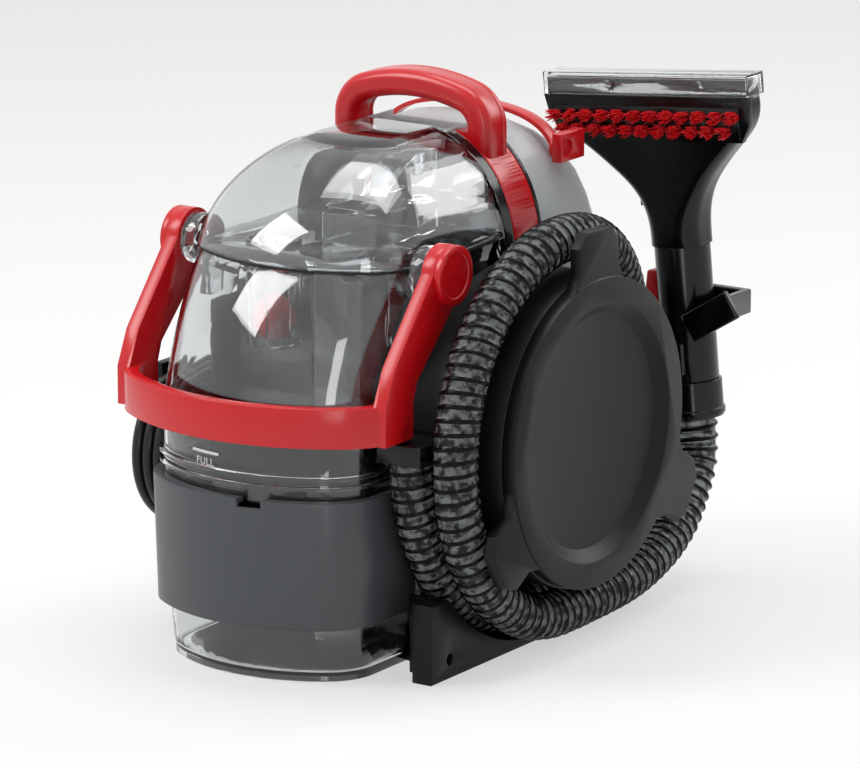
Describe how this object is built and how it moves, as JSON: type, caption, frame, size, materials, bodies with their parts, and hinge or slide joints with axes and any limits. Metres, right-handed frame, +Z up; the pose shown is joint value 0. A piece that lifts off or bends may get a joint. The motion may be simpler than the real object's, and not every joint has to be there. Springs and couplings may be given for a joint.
{
  "type": "carpet cleaner machine",
  "caption": "Portable carpet spot cleaner with clear dirty tank, swinging bail, lift-out clean tank, wrapped suction hose and hand brush tool.",
  "frame": {"origin": "underside of the base tray, in the centre plane of the tanks, below the hose ring's centre region", "axes": "+Z up, -Y towards the front tank, +X towards the hose side"},
  "size_m": [0.2947, 0.402, 0.3445],
  "materials": {
    "red_abs": "gloss",
    "black_abs": "satin",
    "black_matte": "fine texture",
    "slate_abs": "satin",
    "clear_polycarbonate": "gloss",
    "frosted_polycarbonate": "frosted",
    "rubber": "matte",
    "hose_vinyl": "smoky, ribbed",
    "cord_vinyl": "satin",
    "steel": "plain",
    "motor_steel": "plain",
    "float_red": "gloss",
    "bristle_red": "nylon tufts"
  },
  "bodies": {
    "machine": {"base_tray": "black_matte", "foot_pad_front_left": "rubber", "foot_pad_front_right": "rubber", "foot_pad_rear_left": "rubber", "foot_pad_rear_right": "rubber", "side_skirt": "black_matte", "side_panel": "black_matte", "body_front_shell": "black_abs", "body_rear_shell": "black_abs", "exhaust_grille": "black_matte", "arch_trim_front": "black_abs", "arch_trim_rear": "black_abs", "arch_band_left": "red_abs", "arch_band_right": "red_abs", "spine_cap": "slate_abs", "carry_handle_front": "red_abs", "carry_handle_rear": "red_abs", "hose_drum": "black_matte", "hose_disc": "black_matte", "hose": "hose_vinyl", "hose_port": "black_matte", "hose_cuff": "black_abs", "grip_shell": "black_abs", "tool_cradle": "black_abs", "power_cord_coil": "cord_vinyl", "power_cord_lead": "cord_vinyl", "cord_hook_rear": "black_abs", "power_plug": "cord_vinyl", "cord_gland": "rubber", "vacuum_motor": "motor_steel", "fan_housing": "black_matte", "pump_body": "black_matte"},
    "dirty_tank": {"dirty_tank_vessel": "clear_polycarbonate", "standpipe": "clear_polycarbonate", "tank_band": "slate_abs", "bail_pivot_left": "clear_polycarbonate", "bail_pivot_right": "clear_polycarbonate"},
    "tank_lid_group": {"tank_lid": "clear_polycarbonate", "lid_gasket": "rubber", "lid_duct": "clear_polycarbonate", "float_cage": "black_abs"},
    "float": {"float_ball": "float_red"},
    "bail": {"tank_bail": "red_abs", "bail_cap_left": "red_abs", "bail_cap_right": "red_abs"},
    "clean_tank": {"clean_tank_vessel": "frosted_polycarbonate", "clean_tank_cap": "black_abs", "valve_spring": "steel"},
    "clean_handle": {"clean_tank_handle": "red_abs"},
    "clean_latch": {"clean_tank_latch": "red_abs"},
    "valve": {"valve_poppet": "black_matte"},
    "fan": {"vacuum_fan": "black_matte"},
    "piston": {"pump_piston": "steel"},
    "rocker": {"power_rocker": "black_abs"},
    "trigger": {"spray_trigger": "red_abs"},
    "hand_tool_head": {"tool_head": "black_abs", "nozzle_cover": "clear_polycarbonate", "brush_strip": "bristle_red"},
    "head_button": {"release_button": "red_abs"},
    "turning_hook": {"cord_hook_front": "black_abs"}
  },
  "joints": [
    {"name": "dirty_tank_lift", "type": "slide", "parent": "machine", "child": "dirty_tank", "axis": [0, 0, 1], "range_m": [0, 0.12]},
    {"name": "lid_lift", "type": "slide", "parent": "dirty_tank", "child": "tank_lid_group", "axis": [0, 0, -1], "range_m": [-0.075, 0]},
    {"name": "float_rise", "type": "slide", "parent": "tank_lid_group", "child": "float", "axis": [0, 0, 1], "range_m": [0, 0.03]},
    {"name": "bail_swing", "type": "hinge", "parent": "dirty_tank", "child": "bail", "pos_m": [0, -0.06, 0.247], "axis": [-1, 0, 0], "range_deg": [0, 115]},
    {"name": "clean_tank_lift", "type": "slide", "parent": "machine", "child": "clean_tank", "axis": [0, 0, 1], "range_m": [0, 0.004]},
    {"name": "clean_handle_rise", "type": "slide", "parent": "clean_tank", "child": "clean_handle", "axis": [0, 0, 1], "range_m": [0, 0.012]},
    {"name": "latch_pull", "type": "slide", "parent": "clean_tank", "child": "clean_latch", "axis": [1, 0, 0], "range_m": [0, 0.003], "stiffness_N_per_m": 400},
    {"name": "valve_press", "type": "slide", "parent": "clean_tank", "child": "valve", "axis": [0, 0, 1], "range_m": [0, 0.003], "stiffness_N_per_m": 300, "springref_m": -0.003, "deforming": ["valve_spring"]},
    {"name": "fan_spin", "type": "hinge", "parent": "machine", "child": "fan", "pos_m": [-0.025, 0.02, 0.1], "axis": [0, 0, 1], "continuous": true},
    {"name": "pump_stroke", "type": "slide", "parent": "machine", "child": "piston", "axis": [0, 0, 1], "range_m": [-0.003, 0.004], "stiffness_N_per_m": 400},
    {"name": "rocker_tilt", "type": "hinge", "parent": "machine", "child": "rocker", "pos_m": [0, 0.0575, 0.3015], "axis": [0, 1, 0], "range_deg": [-6, 6], "stiffness_Nm_per_rad": 0.05},
    {"name": "trigger_squeeze", "type": "hinge", "parent": "machine", "child": "trigger", "pos_m": [0.08752, 0.206, 0.19563], "axis": [0, -1, 0], "range_deg": [0, 6], "stiffness_Nm_per_rad": 0.4, "springref_deg": -5.73},
    {"name": "tool_head_slide", "type": "slide", "parent": "machine", "child": "hand_tool_head", "axis": [-0.0924, 0, 0.9957], "range_m": [0, 0.06]},
    {"name": "button_press", "type": "slide", "parent": "hand_tool_head", "child": "head_button", "axis": [0.9957, 0, 0.0924], "range_m": [0, 0.002], "stiffness_N_per_m": 300, "springref_m": -0.002},
    {"name": "cord_hook_turn", "type": "hinge", "parent": "machine", "child": "turning_hook", "pos_m": [-0.1, -0.052, 0.112], "axis": [1, 0, 0], "range_deg": [0, 180]}
  ]
}
